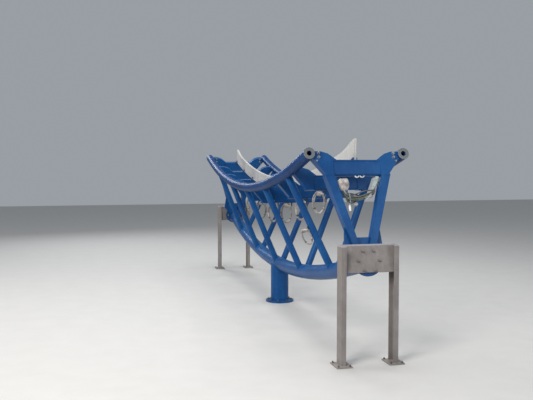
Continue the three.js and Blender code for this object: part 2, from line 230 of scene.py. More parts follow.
def paint(name, tail=None):
    look = paintLooks[name]
    recipe = Recipe(name)
    broad = recipe.noise(1.3, 4)
    blotch = recipe.noise(7.0, 5, 0.6)
    fine = recipe.noise(60, 5, 0.65)
    runs = recipe.noise(1.0, 4, 0.6, recipe.stretched((26, 26, 1.7)))
    upward = recipe.part(recipe.normal, 2)
    colour = recipe.mix((broad * 0.6 + blotch * 0.4).ramp(0.36, 0.64), look["deep"], look["base"])
    runMask = runs.ramp(0.50, 0.74) * (1 - upward.ramp(0.5, 0.9)) * 0.45 * look["dustShare"]
    dustMask = upward.ramp(0.15, 0.95) * blotch.ramp(0.30, 0.66) * look["dustShare"]
    colour = recipe.mix(recipe.calc("MAXIMUM", runMask, dustMask), colour, look["dust"])
    speck = recipe.noise(140, 2, 0.5)
    chipMask = (speck * 0.75 + blotch * 0.25).ramp(0.635, 0.665) * look["wear"]
    colour = recipe.mix(chipMask, colour, look["chip"])
    rough = look["gloss"] + fine * 0.16 + dustMask * 0.3 + runMask * 0.25 + chipMask * 0.2
    height = fine * 0.25 + recipe.noise(320, 2) * 0.12 - chipMask * 0.5
    sockets = {"Base Color": colour, "Roughness": recipe.calc("MINIMUM", rough, 0.95), "Metallic": 0.0}
    sockets["Specular IOR Level"] = look["shine"]
    if tail:
        tail(recipe, sockets)
    return recipe.shell(sockets, height, 0.25, 0.0015)


# the machined ring that each rail ends in, bare and slightly oiled
endRing = {
    "turn": 0.0006,  # radians back from the cut end
    "blur": 0.00006,
    "dark": (0.15, 0.158, 0.162),
    "light": (0.195, 0.205, 0.21),
    "rough": 0.34,
    "metallic": 0.55,
}


def paleEnds(recipe, sockets):
    along = recipe.calc("ABSOLUTE", recipe.part(recipe.place, 1))
    turn = recipe.calc("ARCTAN2", along, arcCentre - recipe.part(recipe.place, 2))
    edge = track["endTurn"] - endRing["turn"]
    ring = turn.ramp(edge, edge + endRing["blur"])
    turned = recipe.noise(90, 3, 0.55)
    bare = recipe.mix(turned.ramp(0.3, 0.7), endRing["dark"], endRing["light"])
    sockets["Base Color"] = recipe.mix(ring, sockets["Base Color"], bare)
    sockets["Roughness"] = sockets["Roughness"] * (1 - ring) + ring * (endRing["rough"] + turned * 0.2)
    sockets["Metallic"] = ring * endRing["metallic"]


# a painted highlight: a pale band along the stands' upper edges, where light catches them
paintedEdgeHighlight = {"depth": (0.021, 0.015), "waver": 0.02, "share": 0.75, "colour": (0.36, 0.34, 0.385)}


def paintedTopHighlight(recipe, sockets):
    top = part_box("near_stand_plate")[1].z
    low, high = (top - depth for depth in paintedEdgeHighlight["depth"])
    edge = recipe.part(recipe.place, 2) + (recipe.noise(34, 4, 0.6) - 0.5) * paintedEdgeHighlight["waver"]
    # painted highlight: a pale lilac band just under the plates' top height, on every stand part
    highlightMask = edge.ramp(low, high) * paintedEdgeHighlight["share"]
    sockets["Base Color"] = recipe.mix(highlightMask, sockets["Base Color"], paintedEdgeHighlight["colour"])


def metal(name, light, dark, rough, metallic):
    recipe = Recipe(name)
    worn = recipe.noise(24, 5, 0.6)
    fine = recipe.noise(210, 4, 0.6)
    colour = recipe.mix((worn * 0.6 + fine * 0.4).ramp(0.35, 0.65), dark, light)
    sockets = {"Base Color": colour, "Roughness": worn * 0.25 + rough, "Metallic": metallic}
    return recipe.shell(sockets, fine, 0.3, 0.0006)


metalLooks = {
    # light, dark, roughness, how metallic
    "darkBoltSteel": ((0.150, 0.135, 0.125), (0.075, 0.062, 0.055), 0.5, 0.5),
    "dullBoltSteel": ((0.255, 0.235, 0.225), (0.150, 0.132, 0.122), 0.5, 0.3),
    "zincBoltSteel": ((0.36, 0.38, 0.41), (0.17, 0.18, 0.20), 0.32, 0.7),
}
sheathLooks = {
    # light, dark, roughness
    "paleSheath": ((0.46, 0.44, 0.42), (0.15, 0.13, 0.125), 0.36),
    "oliveSheath": ((0.070, 0.082, 0.058), (0.022, 0.027, 0.022), 0.45),
    "mossSheath": ((0.120, 0.145, 0.115), (0.045, 0.055, 0.046), 0.45),
    "duskSheath": ((0.130, 0.130, 0.165), (0.055, 0.052, 0.075), 0.45),
    "icySheath": ((0.42, 0.48, 0.60), (0.22, 0.27, 0.38), 0.40),
    "wrapTape": ((0.50, 0.46, 0.43), (0.15, 0.10, 0.075), 0.55),
    "bagFilm": ((0.62, 0.59, 0.57), (0.20, 0.165, 0.15), 0.36),
    "paleSleeving": ((0.42, 0.48, 0.47), (0.20, 0.24, 0.235), 0.45),
    "plugPlastic": ((0.62, 0.61, 0.59), (0.40, 0.38, 0.35), 0.36),
    "bandPlastic": ((0.035, 0.034, 0.033), (0.020, 0.020, 0.020), 0.45),
    "greyPlug": ((0.34, 0.34, 0.38), (0.20, 0.19, 0.21), 0.42),
    "paleClip": ((0.78, 0.79, 0.80), (0.60, 0.60, 0.60), 0.40),
}


def sheath(name, light, dark, rough):
    # a dusty cable jacket or wrapping, with scuffs along it
    recipe = Recipe(name)
    broad = recipe.noise(16, 4)
    scuff = recipe.noise(120, 5, 0.7)
    colour = recipe.mix((broad * 0.7 + scuff * 0.3).ramp(0.34, 0.66), dark, light)
    sockets = {"Base Color": colour, "Roughness": scuff * 0.25 + rough, "Metallic": 0.0}
    return recipe.shell(sockets, scuff * 0.6 + broad * 0.4, 0.35, 0.0012)


# Modelling helpers
mergeWithin = 0.00005
turnedSides = 20  # of the plugs, glands and bands


def deselectAll():
    bpy.ops.object.select_all(action="DESELECT")


def activate(piece):
    deselectAll()
    piece.select_set(True)
    bpy.context.view_layer.objects.active = piece


def started(name):
    # the primitive that was just added, under its own name
    piece = bpy.context.object
    piece.name = name
    piece.data.name = name
    return piece


def linked(name, data):
    # a new object around its data, both under one name
    data.name = name
    piece = bpy.data.objects.new(name, data)
    bpy.context.collection.objects.link(piece)
    return piece


@contextmanager
def editing(piece, kind="FACE"):
    activate(piece)
    bpy.ops.object.mode_set(mode="EDIT")
    bpy.ops.mesh.select_mode(type=kind)
    bpy.ops.mesh.select_all(action="DESELECT")
    yield
    bpy.ops.object.mode_set(mode="OBJECT")


def pick(piece, kind, test):
    # selects the faces or points that pass a test, in edit mode
    grid = bmesh.from_edit_mesh(piece.data)
    items = grid.faces if kind == "FACE" else grid.verts
    for item in items:
        item.select_set(False)
    chosen = [item for item in items if test(item)]
    for item in chosen:
        item.select_set(True)
    grid.select_flush_mode()
    bmesh.update_edit_mesh(piece.data)
    return len(chosen)


def selectMesh():
    bpy.ops.mesh.select_all(action="SELECT")


def cut(place, normal):
    # a loop of edges all round the piece that is being edited
    selectMesh()
    bpy.ops.mesh.bisect(plane_co=place, plane_no=normal)


def turnOut():
    selectMesh()
    bpy.ops.mesh.normals_make_consistent(inside=False)


def extruded(across, up):
    bpy.ops.mesh.extrude_region_move(TRANSFORM_OT_translate={"value": (across, 0, up)})


def applied(piece, kind, **settings):
    activate(piece)
    modifier = piece.modifiers.new(kind.title(), kind)
    for key, value in settings.items():
        setattr(modifier, key, value)
    bpy.ops.object.modifier_apply(modifier=modifier.name)
    return piece


def settled(piece):
    # puts the piece's place into its mesh
    activate(piece)
    bpy.ops.object.transform_apply(location=True, rotation=True, scale=True)
    return piece


def softened(piece, width, sharp=30, segments=2):
    # breaks the edges that are sharper than an angle
    limit = {"limit_method": "ANGLE", "angle_limit": radians(sharp)}
    return applied(piece, "BEVEL", width=width, segments=segments, **limit)


def joined(name, pieces):
    activate(pieces[0])
    for piece in pieces:
        piece.select_set(True)
    bpy.ops.object.join()
    return started(name)


def dress(piece, slot, material, *nodes, smooth=50):
    # shading, finish, body and the nodes that the piece stands for
    activate(piece)
    bpy.ops.object.shade_smooth_by_angle(angle=radians(smooth))
    applied(piece, "WEIGHTED_NORMAL", keep_sharp=True)
    piece.data.materials.clear()
    piece.data.materials.append(material)
    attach(piece, "root")
    if nodes:
        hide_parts(*nodes)
    return piece


def copiedMesh(master, matrix):
    # moved by a matrix that may mirror it
    mesh = master.data.copy()
    mesh.transform(matrix)
    if matrix.determinant() < 0:
        mesh.flip_normals()
    return mesh


def placed(master, name, matrix):
    return linked(name, copiedMesh(master, matrix))


def released(name, grid):
    # a finished bmesh as a piece
    mesh = bpy.data.meshes.new(name)
    grid.to_mesh(mesh)
    grid.free()
    return linked(name, mesh)


def gathered(name, master, matrices):
    # one piece made of many copies of a master
    grid = bmesh.new()
    for matrix in matrices:
        mesh = copiedMesh(master, matrix)
        grid.from_mesh(mesh)
        bpy.data.meshes.remove(mesh)
    return released(name, grid)


def dropped(*masters):
    for master in masters:
        bpy.data.objects.remove(master)


def reworked(node, name):
    # the frame's own solid as one clean mesh, ready for edit mode
    piece = linked(name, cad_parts[node].data.copy())
    activate(piece)
    bpy.ops.mesh.customdata_custom_splitnormals_clear()
    with editing(piece, "VERT"):
        selectMesh()
        bpy.ops.mesh.remove_doubles(threshold=mergeWithin)
        bpy.ops.mesh.dissolve_limited(angle_limit=radians(1.0))
        bpy.ops.mesh.normals_make_consistent(inside=False)
    return piece


def scaled(size):
    return Matrix.Scale(size, 4)


def aimed(place, direction):
    # Z points in the direction there
    return Matrix.Translation(place) @ direction.to_track_quat("Z", "Y").to_matrix().to_4x4()


def onCircle(radius, share, height=0.0):
    # after a share of a whole turn around Z
    angle = tau * share
    return Vector((radius * cos(angle), radius * sin(angle), height))


def shares(count, last=0):
    # even shares from 0 towards 1, with 1 itself where last is 1
    return [step / count for step in range(count + last)]


def disc(name, sides, radius, **place):
    deselectAll()
    bpy.ops.mesh.primitive_circle_add(vertices=sides, radius=radius, fill_type="NGON", **place)
    return settled(started(name))


def bored(width):
    # leaves a flat ring of the disc that is being edited
    selectMesh()
    bpy.ops.mesh.inset(thickness=width)
    bpy.ops.mesh.delete(type="FACE")
    selectMesh()


def upright(name, sides, radius, low, high):
    # a round bar from one height to another
    deselectAll()
    middle = (0, 0, (low + high) / 2)
    bpy.ops.mesh.primitive_cylinder_add(vertices=sides, radius=radius, depth=high - low, location=middle)
    return settled(started(name))


def rodBetween(name, start, end, radius, sides):
    half = (end - start).length / 2
    rod = upright(name, sides, radius, -half, half)
    rod.data.transform(aimed((start + end) / 2, end - start))
    return rod


def ball(name, segments, rings, tilt=0.0):
    deselectAll()
    turn = (0, tilt, 0)
    bpy.ops.mesh.primitive_uv_sphere_add(segments=segments, ring_count=rings, radius=1, rotation=turn)
    return settled(started(name))


def tube(name, rings, closed=False):
    # a skin over rings of points, with flat ends
    grid = bmesh.new()
    rows = [[grid.verts.new(point) for point in ring] for ring in rings]
    pairs = list(zip(rows, rows[1:])) + ([(rows[-1], rows[0])] if closed else [])
    for low, high in pairs:
        for side, point in enumerate(low):
            after = (side + 1) % len(low)
            grid.faces.new((point, low[after], high[after], high[side]))
    if not closed:
        grid.faces.new(rows[0][::-1])
        grid.faces.new(rows[-1])
    bmesh.ops.recalc_face_normals(grid, faces=grid.faces)
    return released(name, grid)


def turnedPiece(name, profile, matrix):
    # a profile of (radius, height) turned about Z, then placed
    sides = shares(turnedSides)
    rings = [[onCircle(radius, side, height) for side in sides] for radius, height in profile]
    return tube(name, carried(matrix, rings))


def roundLine(name, lines, radius, fineness=1, cyclic=False):
    # round bars along lines of points, as one curve
    curve = bpy.data.curves.new(name, "CURVE")
    curve.dimensions = "3D"
    curve.bevel_depth = radius
    curve.bevel_resolution = fineness
    curve.use_fill_caps = True
    for points in lines:
        line = curve.splines.new("POLY")
        line.points.add(len(points) - 1)
        for point, place in zip(line.points, points):
            point.co = (*place, 1)
        line.use_cyclic_u = cyclic
        line.use_smooth = True
    return linked(name, curve)


def meshed(piece):
    activate(piece)
    bpy.ops.object.convert(target="MESH")
    return bpy.context.object


def carried(matrix, lines):
    return [[matrix @ point for point in line] for line in lines]


# Studio floor
floorLook = {"size": 60, "dark": (0.52, 0.51, 0.495), "light": (0.58, 0.57, 0.555), "rough": 0.85}


def addFloor():
    bpy.ops.mesh.primitive_plane_add(size=floorLook["size"], location=(0, 0, 0))
    floor = started("studioFloor")
    recipe = Recipe("paleFloor")
    colour = recipe.mix(recipe.noise(3.0, 4), floorLook["dark"], floorLook["light"])
    floor.data.materials.append(recipe.shell({"Base Color": colour, "Roughness": floorLook["rough"]}))


# Cable coils, each with a wrapped plug at its top
cable = {
    "diameter": 0.012,
    "spread": 0.78,  # diameters from the middle of the bundle to a turn
    "slack": 0.16,  # share of the spread that comes and goes along a turn
    "waver": 2.1,  # radians by which that moves on from turn to turn
    "waverFrom": 8,  # points of the first turn until it is full
    "turns": 3.55,
    "turnPoints": 28,
    "twist": 90,  # degrees that a turn moves round the bundle
    "halfWidth": 0.075,
    "halfHeight": 0.142,
    "top": 0.159,  # of the coil's solid, above its middle
    "joinAngle": 25,  # where the cable joins the bundle
    "exitAcross": 0.083,
    # inwards and down from the exit until there
    "lead": ((0, 0.004), (0, 0.018), (0, 0.034), (0, 0.050), (0.001, 0.066), (0.004, 0.082)),
    # from the last turn to the plug: steps, share of a turn, degrees round the bundle, diameters outwards
    "tail": (0.14, 0.28, 0.42, 0.56, 0.70, 0.84, 1.0),
    "tailTurn": 0.24,
    "tailRoll": 130,
    "tailRise": 1.15,
    "tailHaste": 1.8,
    "plugAim": Vector((0.92, -0.04, -0.38)),
    "offset": 0.218,  # to the left of the middle, under a crossbeam
    "seatGap": 0.0003,
    "count": 6,
    "length": 2.75,
}
legHook = {"drop": 0.8, "gap": 0.1161, "size": 0.75}  # where and how large a coil hangs on the leg


def ovalPoint(angle, roll, reach):
    # a point of the oval, moved out from its centre line by reach in the direction of roll
    width, height = cable["halfWidth"], cable["halfHeight"]
    outward = Vector((cos(angle) / width, 0, sin(angle) / height)).normalized()
    middle = Vector((width * cos(angle), 0, height * sin(angle)))
    return middle + (outward * cos(roll) + Vector((0, 1, 0)) * sin(roll)) * reach


def coilRoute():
    # down from the exit, round and round the oval, then across the front to the plug
    size, across, top = cable["diameter"], cable["exitAcross"], cable["top"]
    points = [Vector((across - inwards, 0, top - drop)) for inwards, drop in cable["lead"]]
    join = radians(cable["joinAngle"])
    steps = int(cable["turns"] * cable["turnPoints"])
    for step in range(steps + 1):
        share = step / cable["turnPoints"]
        angle = join - tau * share
        roll = radians(-cable["twist"] * share)
        waver = sin(2 * angle + cable["waver"] * share) * min(1, step / cable["waverFrom"])
        slack = 1 + cable["slack"] * waver
        points.append(ovalPoint(angle, roll, size * cable["spread"] * slack))
    last = steps / cable["turnPoints"]
    for share in cable["tail"]:
        angle = join - tau * (last + cable["tailTurn"] * share)
        roll = -radians(cable["twist"] * last + cable["tailRoll"] * share)
        rise = cable["tailRise"] * min(1, cable["tailHaste"] * share)
        points.append(ovalPoint(angle, roll, size * (cable["spread"] + rise)))
    return points


def coilFrames():
    for number in range(1, cable["count"] + 1):
        place = arcPoint(tieTurns[number], track["tieBottom"], -cable["offset"])
        place.z -= cable["top"] + cable["seatGap"]
        yield f"cableCoil{number}", f"cable_coil_{number}", Matrix.Translation(place)
    heel, foot = legLook["heel"], legLook["foot"]
    across = (heel.x - foot.x) * (legHook["drop"] + heel.z) / (heel.z - foot.z) - heel.x
    lean = atan2(heel.x - foot.x, heel.z - foot.z)
    outward = Vector((cos(lean), 0, sin(lean))) * legHook["gap"]
    place = Vector((across, 0, -legHook["drop"])) - outward
    local = Matrix.Translation(place) @ Matrix.Rotation(-lean, 4, "Y") @ scaled(legHook["size"])
    yield "legCableCoil", "leg_cable_coil", station(legTurns[1]) @ local


creasePower = 0.8


def crumpled(spot, look):
    # the reach of a spot on the unit ball, with folds and creases
    fold = noise.noise(spot * look["foldScale"] + look["foldFrom"])
    crease = abs(noise.noise(spot * look["creaseScale"])) ** creasePower
    return look["reach"] + look["fold"] * fold - look["crease"] * crease


wrap = {
    "middle": Vector((0.0, 0.0, 0.1190)),
    "half": Vector((0.056, 0.035, 0.0395)),
    "laps": 5,
    "lapRise": 0.07,
    "wander": 0.25,
    "wanderScale": 2,
    "reach": 0.93,
    "most": 0.99,
    "fold": 0.05,
    "foldScale": 2.1,
    "foldFrom": Vector((5, 2, 9)),
    "crease": 0.08,
    "creaseScale": 5.0,
    "taperFrom": 0.7,  # of the half length
    "taper": 0.25,
}


def wrapMaster():
    # cloth tape wound in a lump around a plug and the top of its coil
    lump = ball("wrapMaster", segments=40, rings=26, tilt=pi / 2)
    half = wrap["half"]
    for point in lump.data.vertices:
        spot = point.co.copy()
        around = atan2(spot.y, spot.z) / tau
        wander = wrap["wander"] * noise.noise(spot * wrap["wanderScale"])
        lap = (spot.x * wrap["laps"] + around + wander) % 1
        reach = crumpled(spot, wrap) + wrap["lapRise"] * lap
        past = abs(spot.x) - wrap["taperFrom"]
        if past > 0:
            reach *= 1 - wrap["taper"] * past / (1 - wrap["taperFrom"])
        reach = min(reach, wrap["most"])
        shaped = Vector((spot.x * half.x, spot.y * half.y * reach, spot.z * half.z * reach))
        point.co = shaped + wrap["middle"]
    return lump


# ovalReach is the oval's mean radius, which turns a band's width into an angle
tieBand = {"angles": (-38, 212), "radius": 0.0172, "width": 0.007, "depth": 0.0016, "ovalReach": 0.11}


def bandMaster():
    half = tieBand["width"] / 2 / tieBand["ovalReach"]
    profile = [(-half, 0), (-half, tieBand["depth"]), (half, tieBand["depth"]), (half, 0)]
    bands = []
    for number, degrees in enumerate(tieBand["angles"]):
        rings = []
        middle, reach = radians(degrees), tieBand["radius"]
        for side in shares(turnedSides):
            roll = tau * side
            rings.append([ovalPoint(middle + turn, roll, reach + rise) for turn, rise in profile])
        bands.append(tube(f"band{number}", rings, closed=True))
    return joined("bandMaster", bands)


# profiles: radius and height, from the cable to the mouth
plug = {
    "back": [(0.0066, -0.022), (0.0072, -0.020), (0.0078, -0.004), (0.0112, -0.002),
             (0.0125, 0.0), (0.0125, 0.012)],
    "ribs": 6,
    "ribsFrom": 0.013,
    "ribPitch": 0.005,
    "rib": [(0.0125, 0.0), (0.0139, 0.0012), (0.0139, 0.0030), (0.0125, 0.0042)],
    "collar": [(0.0125, 0.047), (0.0150, 0.049), (0.0150, 0.059), (0.0135, 0.061)],
    "mouth": [(0.0135, 0.077), (0.0125, 0.078), (0.0098, 0.078), (0.0094, 0.066)],
    "gland": [(0.0064, -0.052), (0.0070, -0.050), (0.0080, -0.038), (0.0094, -0.024), (0.0104, -0.014),
              (0.0118, -0.012), (0.0118, -0.0005)],
}


def plugMaster(end, direction):
    # a moulded plug with a gripped body, a collar and a hollow mouth
    profile = list(plug["back"])
    for number in range(plug["ribs"]):
        low = plug["ribsFrom"] + plug["ribPitch"] * number
        profile += [(radius, low + height) for radius, height in plug["rib"]]
    return turnedPiece("plugMaster", profile + plug["collar"] + plug["mouth"], aimed(end, direction))


def glandMaster():
    # the tapered sleeve where a coil's cable leaves the steelwork
    place = (cable["exitAcross"], 0, cable["top"])
    return turnedPiece("glandMaster", plug["gland"], Matrix.Translation(place))


def cordPiece(name, points, radius, skin, **facts):
    line = roundLine(name, [points], radius, 3)
    line.data.materials.append(skin)
    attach(line, "root")
    tuple(points[0])
    2 * radius
    return line


def runLength(points):
    return round(sum((after - before).length for before, after in zip(points, points[1:])), 3)


def addCoils(skins):
    route = coilRoute()
    masters = {
        "Wrap": (wrapMaster(), skins["wrapTape"]),
        "Bands": (bandMaster(), skins["bandPlastic"]),
        "Plug": (plugMaster(route[-1], cable["plugAim"]), skins["plugPlastic"]),
        "Gland": (glandMaster(), skins["bandPlastic"]),
    }
    for name, node, matrix in coilFrames():
        size = round(matrix.to_scale().x, 3)
        extras = []
        for kind, (master, finish) in masters.items():
            extras.append(dress(placed(master, f"{name}{kind}", matrix), "cable", finish))
        line = cordPiece(
            name,
            [matrix @ point for point in route],
            size * cable["diameter"] / 2,
            skins["paleSheath"],
            length=round(size * cable["length"], 2),
            far_end="connector",
            lay="coiled",
            with_pieces=extras,
        )
        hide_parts(node)
    dropped(*(master for master, _ in masters.values()))
    print("coils wound")


# Wrapped plugs under the near crossbeam, a wrapped bundle by the right leg, and their leads
bag = {
    "middle": Vector((-0.178, 0, -0.3563)),
    "half": Vector((0.078, 0.058, 0.094)),
    "reach": 0.97,
    "mostRise": 0.985,
    "fold": 0.09,
    "foldScale": 2.3,
    "foldFrom": Vector((3, 1, 7)),
    "crease": 0.13,
    "creaseScale": 5.5,
    "dent": Vector((0.05, -0.86, 0.50)),  # on the unit ball that the bag is made from
    "dentDepth": 0.34,
    "dentWidth": 0.26,
    "neck": 0.62,
    "pinch": 0.30,
    "gathers": 9,
    "gatherDepth": 0.06,
}
sleeve = {
    "middle": Vector((0.212, -0.030, -0.360)),
    "radius": 0.042,
    "length": 0.186,
    "lean": radians(28),
    "narrowing": 0.42,  # of the foot
    "rounding": (0.03, 0.30),  # of both ends: the share of a half wave left out there, and its power
    "lobes": 7,
    "twist": 0.8,
    "lobeDepth": 0.16,
    "crumple": 0.06,
    "foldAround": 2,
    "foldAlong": 7,
    "across": 0.96,
    "along": 1.05,
    "sides": 40,
    "steps": 26,
}
leads = {
    # control points of the droop, from the bag to the sleeve
    "droop": ((-0.178, 0, -0.4063), (-0.218, 0, -0.5863),
              (0.2285, -0.030, -0.5863), (0.1885, -0.030, -0.4041)),
    "steps": 36,
    "ease": 6,  # how fast the extra sag sets in at the ends
    "endReach": 0.45,  # share of its distance from the middle that a lead has at its ends
    "strands": (
        # radius, distance from the middle, roll, turns around it, finish, extra sag, its place and width
        (0.0090, 0.010, 20, 0.8, "olive", 0.0, 0.5, 0.3),
        (0.0080, 0.018, 110, 1.0, "moss", 0.014, 0.4, 0.2),
        (0.0090, 0.022, 200, -0.7, "olive", 0.030, 0.3, 0.2),
        (0.0075, 0.024, 290, 0.9, "dusk", -0.024, 0.6, 0.2),
        (0.0070, 0.026, 60, 1.3, "moss", 0.034, 0.55, 0.25),
        (0.0065, 0.012, 240, 1.6, "pale", -0.014, 0.35, 0.2),
        (0.0085, 0.020, 330, 0.6, "olive", -0.040, 0.42, 0.22),
        (0.0080, 0.016, 90, -1.1, "moss", -0.052, 0.66, 0.2),
        (0.0080, 0.008, 0, 0.5, "moss", 0.080, 0.22, 0.11),
        (0.0075, 0.018, 150, 0.4, "olive", 0.058, 0.30, 0.12),
        (0.0085, 0.006, 90, 0.5, "dusk", -0.088, 0.60, 0.26),
    ),
}
pigtails = {
    "radius": 0.0036,
    "steps": 20,
    "leads": (
        # top, bend and foot, then the plug's direction, length, size and finish
        (((-0.140, -0.004, -0.400), (-0.098, -0.024, -0.540), (-0.128, -0.014, -0.626)),
         (0, 0, -1), 0.068, 1.20, "paleClip"),
        (((-0.030, -0.020, -0.545), (-0.060, 0.020, -0.600), (-0.068, -0.030, -0.626)),
         (0.14, -1, 0.2), 0.040, 1.60, "greyPlug"),
        (((0.050, -0.010, -0.535), (0.080, -0.040, -0.565), (0.104, -0.052, -0.535)),
         (0.9, -0.3, 0.3), 0.046, 1.25, "greyPlug"),
    ),
    # radius and height, and for the mouth the height above the plug's end
    "body": [(0.0045, -0.010), (0.0050, -0.008), (0.0085, 0.0), (0.0125, 0.003), (0.0130, 0.012),
             (0.0118, 0.014), (0.0118, 0.018), (0.0134, 0.020)],
    "mouth": [(0.0134, -0.002), (0.0120, 0), (0.0095, 0), (0.0090, -0.008)],
}


def bagPiece(place):
    # a crumpled plastic bag tied at its neck
    piece = ball("wrappedPlugs", segments=48, rings=30)
    half = bag["half"]
    for point in piece.data.vertices:
        spot = point.co.copy()
        dent = exp(-(((spot - bag["dent"]).length / bag["dentWidth"]) ** 2))
        reach = crumpled(spot, bag) - bag["dentDepth"] * dent
        if spot.z > bag["neck"]:
            pinch = (spot.z - bag["neck"]) / (1 - bag["neck"])
            gather = sin(bag["gathers"] * atan2(spot.y, spot.x))
            reach *= 1 - bag["pinch"] * pinch + bag["gatherDepth"] * gather * pinch
        reach = min(reach, 1)
        rise = min(reach, bag["mostRise"])
        point.co = Vector((spot.x * half.x * reach, spot.y * half.y * reach, spot.z * half.z * rise))
    piece.data.transform(place @ Matrix.Translation(bag["middle"]))
    return applied(piece, "SUBSURF", levels=1, render_levels=1)


def sleevePiece(place):
    # several leads side by side under a pale wrapping, flared at the top
    run = Vector((-sin(sleeve["lean"]), 0, -cos(sleeve["lean"])))
    inward = Vector((run.z, 0, -run.x)) * sleeve["across"]
    along = Vector((0, sleeve["along"], 0))
    rings = []
    blunt, power = sleeve["rounding"]
    for share in shares(sleeve["steps"], 1):
        rounding = sin(pi * (blunt + (1 - 2 * blunt) * share)) ** power
        size = sleeve["radius"] * rounding * (1 - sleeve["narrowing"] * share)
        centre = sleeve["middle"] + run * (share - 0.5) * sleeve["length"]
        ring = []
        for side in shares(sleeve["sides"]):
            roll = tau * side
            lobe = abs(sin(sleeve["lobes"] / 2 * roll + sleeve["twist"] * share))
            fold = noise.noise(onCircle(sleeve["foldAround"], side, sleeve["foldAlong"] * share))
            reach = size * (1 - sleeve["lobeDepth"] * lobe + sleeve["crumple"] * fold)
            ring.append(place @ (centre + (inward * cos(roll) + along * sin(roll)) * reach))
        rings.append(ring)
    return tube("wrappedBundle", rings)


def onBend(spots, share):
    # a point of the Bezier curve with these control points
    controls = [Vector(spot) for spot in spots]
    while len(controls) > 1:
        controls = [first.lerp(second, share) for first, second in zip(controls, controls[1:])]
    return controls[0]


def droopPoint(share, reach, roll):
    along = Vector((0, 1, 0))
    spots = [Vector(spot) for spot in leads["droop"]]
    run = onBend([after - before for before, after in zip(spots, spots[1:])], share).normalized()
    return onBend(spots, share) + (run.cross(along) * cos(roll) + along * sin(roll)) * reach


def addLeads(place, skins):
    ends = leads["endReach"]
    for number, strand in enumerate(leads["strands"], 1):
        radius, reach, roll, turns, finish, sag, sagAt, sagWidth = strand
        points = []
        for share in shares(leads["steps"], 1):
            swell = reach * (ends + (1 - ends) * sin(pi * share))
            spot = droopPoint(share, swell, radians(roll) + tau * turns * share)
            swing = exp(-(((share - sagAt) / sagWidth) ** 2))
            swing *= min(1, leads["ease"] * share, leads["ease"] * (1 - share))
            points.append(place @ (spot - Vector((0, 0, sag * swing))))
        facts = {"length": runLength(points), "far_end": "object", "lay": "hanging"}
        cordPiece(f"nearLead{number}", points, radius, skins[f"{finish}Sheath"], **facts)


def addPigtails(place, skins):
    # short leads with pale plugs that hang out of the droop and the bag
    for number, (controls, aim, long, size, finish) in enumerate(pigtails["leads"], 1):
        points = [place @ onBend(controls, share) for share in shares(pigtails["steps"], 1)]
        facts = {"length": runLength(points), "far_end": "connector", "lay": "hanging"}
        profile = pigtails["body"] + [(reach, long + height) for reach, height in pigtails["mouth"]]
        profile = [(reach * size, height) for reach, height in profile]
        end = turnedPiece(f"pigtail{number}Plug", profile, aimed(points[-1], place.to_3x3() @ Vector(aim)))
        dress(end, "cable", skins[finish])
        radius = pigtails["radius"] * size
        cordPiece(f"pigtail{number}", points, radius, skins["icySheath"], with_pieces=[end], **facts)


def addNearCables(skins):
    place = station(-track["frameTurn"])
    dress(bagPiece(place), "cable", skins["bagFilm"], "near_cable_bundle", smooth=70)
    dress(sleevePiece(place), "cable", skins["paleSleeving"], smooth=70)
    addLeads(place, skins)
    addPigtails(place, skins)
    print("near cables laid")


# Rails and chord
tubes = {"sides": 44, "steps": 72, "lip": 0.003, "lipAngle": 60}


def bentTube(name, drop, across, outer, bore, shy=0.0):
    # a ring spun about the track's centre, from the near end to the far one
    start = -track["endTurn"] + shy
    tilt = (pi / 2 + start, 0, 0)
    bent = disc(name, tubes["sides"], outer, location=arcPoint(start, drop, across), rotation=tilt)
    with editing(bent):
        bored(outer - bore)
        centre = (across, 0, arcCentre)
        bpy.ops.mesh.spin(steps=tubes["steps"], angle=2 * start, center=centre, axis=(1, 0, 0))
        selectMesh()
        bpy.ops.mesh.remove_doubles(threshold=mergeWithin)
        turnOut()
    return softened(bent, tubes["lip"], tubes["lipAngle"])


def addRails(finish):
    for side, sign in (("left", -1), ("right", 1)):
        rail = bentTube(f"{side}RailTube", 0, sign * halfGauge, track["railRadius"], track["railBore"])
        dress(rail, "rail_paint", finish, f"{side}_rail")
    print("rails bent")


chordFlange = {
    "radius": 0.178,
    "bore": 0.1035,
    "depth": 0.032,
    "sides": 56,
    "lip": 0.002,
    "shy": 0.0003,  # angle that the chord's own tube stops short of the flange's face
    "bolts": 6,
    "circle": 0.131,
    "boltSize": 0.85,
    "plateFace": 0.0255,  # from the flange's face to the outer face of the stand's plate
}


def outOf(end):
    # turns Z to point out of an end of the track
    return Matrix.Rotation(-end * pi / 2, 4, "X")


def facing(end, drop, across, along):
    # a place near an end of the track whose Z points out of that end
    return station(end * track["endTurn"]) @ Matrix.Translation((across, end * along, -drop)) @ outOf(end)


def flangeMaster():
    ring = disc("flangeMaster", chordFlange["sides"], chordFlange["radius"])
    with editing(ring):
        bored(chordFlange["radius"] - chordFlange["bore"])
        extruded(0, chordFlange["depth"])
        turnOut()
    return softened(ring, chordFlange["lip"], tubes["lipAngle"])


def addChord(finish):
    drop = track["chordDrop"]
    bent = bentTube("chordTube", drop, 0, track["chordRadius"], track["chordBore"], chordFlange["shy"])
    master = flangeMaster()
    inset = -chordFlange["depth"]
    flanges = [placed(master, f"flange{end}", facing(end, drop, 0, inset)) for end in (-1, 1)]
    dropped(master)
    dress(joined("chordWithFlanges", [bent, *flanges]), "frame_paint", finish, "bottom_chord")
    print("chord bent")


# Crossbeams
tieLook = {
    "plate": 0.014,  # depth of the top plate, which stands proud of the beam between the ears
    "recess": 0.009,
    "slope": 0.003,
    "webEnd": 0.301,  # where the beam between the ears ends
    "roundings": ((0.026, 0.003), (0.013, 0.010), (0.004, 0.019), (0.0, 0.028)),  # rise and inset below
    "within": 0.001,  # of a level, for the points that are picked there
    "soften": 0.003,
}


